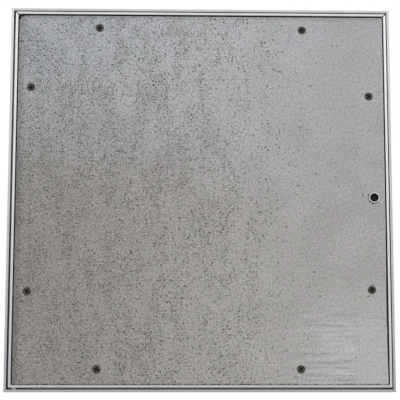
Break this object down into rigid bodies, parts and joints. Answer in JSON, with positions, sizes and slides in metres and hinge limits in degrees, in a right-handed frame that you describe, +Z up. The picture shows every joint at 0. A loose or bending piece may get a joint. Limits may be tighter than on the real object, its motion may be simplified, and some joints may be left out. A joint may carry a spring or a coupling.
{
  "type": "access panel",
  "caption": "Square flush access panel: a board-filled door in an aluminium frame, hinged at one side and held shut by a key-turned cam.",
  "frame": {"origin": "middle of the frame's box", "axes": "+X to the right seen from the front, +Y into the wall, +Z up"},
  "size_m": [0.4, 0.028, 0.4],
  "materials": {
    "frame_aluminium": "mill finish, lightly drawn lines",
    "door_aluminium": "mill finish, lightly drawn lines",
    "cleat_steel": "zinc plated sheet",
    "board": "dry pressed mineral board with pinholes",
    "screw_phosphate": "black phosphate, dusty",
    "seal_rubber": "matt",
    "pin_steel": "turned, zinc plated",
    "bush_nylon": "natural nylon",
    "sleeve_aluminium": "cut tube, satin",
    "lock_zinc": "die-cast zinc, dull",
    "lock_steel": "zinc plated"
  },
  "bodies": {
    "outer_frame": {"outer_frame_left": "frame_aluminium", "outer_frame_right": "frame_aluminium", "outer_frame_top": "frame_aluminium", "outer_frame_bottom": "frame_aluminium", "outer_corner_cleat_top_left": "cleat_steel", "outer_corner_cleat_top_right": "cleat_steel", "outer_corner_cleat_bottom_left": "cleat_steel", "outer_corner_cleat_bottom_right": "cleat_steel", "door_seal": "seal_rubber", "hinge_pin_top": "pin_steel", "hinge_pin_bottom": "pin_steel"},
    "door": {"door_frame_left": "door_aluminium", "door_frame_right": "door_aluminium", "door_frame_top": "door_aluminium", "door_frame_bottom": "door_aluminium", "door_corner_cleat_top_left": "cleat_steel", "door_corner_cleat_top_right": "cleat_steel", "door_corner_cleat_bottom_left": "cleat_steel", "door_corner_cleat_bottom_right": "cleat_steel", "infill_board": "board", "board_screws": "screw_phosphate", "hinge_bush_top": "bush_nylon", "hinge_bush_bottom": "bush_nylon", "lock_sleeve": "sleeve_aluminium", "lock_housing": "lock_zinc", "lock_screws": "lock_steel"},
    "lock_cam": {"lock_spindle": "lock_zinc", "lock_cam": "lock_steel", "cam_washer": "lock_steel", "cam_screw": "lock_steel"}
  },
  "joints": [
    {"name": "door_hinge", "type": "hinge", "parent": "outer_frame", "child": "door", "pos_m": [-0.1898, -0.009, 0], "axis": [0, 0, -1], "range_deg": [0, 105]},
    {"name": "cam_turn", "type": "hinge", "parent": "door", "child": "lock_cam", "pos_m": [0.1812, 0, 0], "axis": [0, 1, 0], "range_deg": [0, 90]}
  ]
}
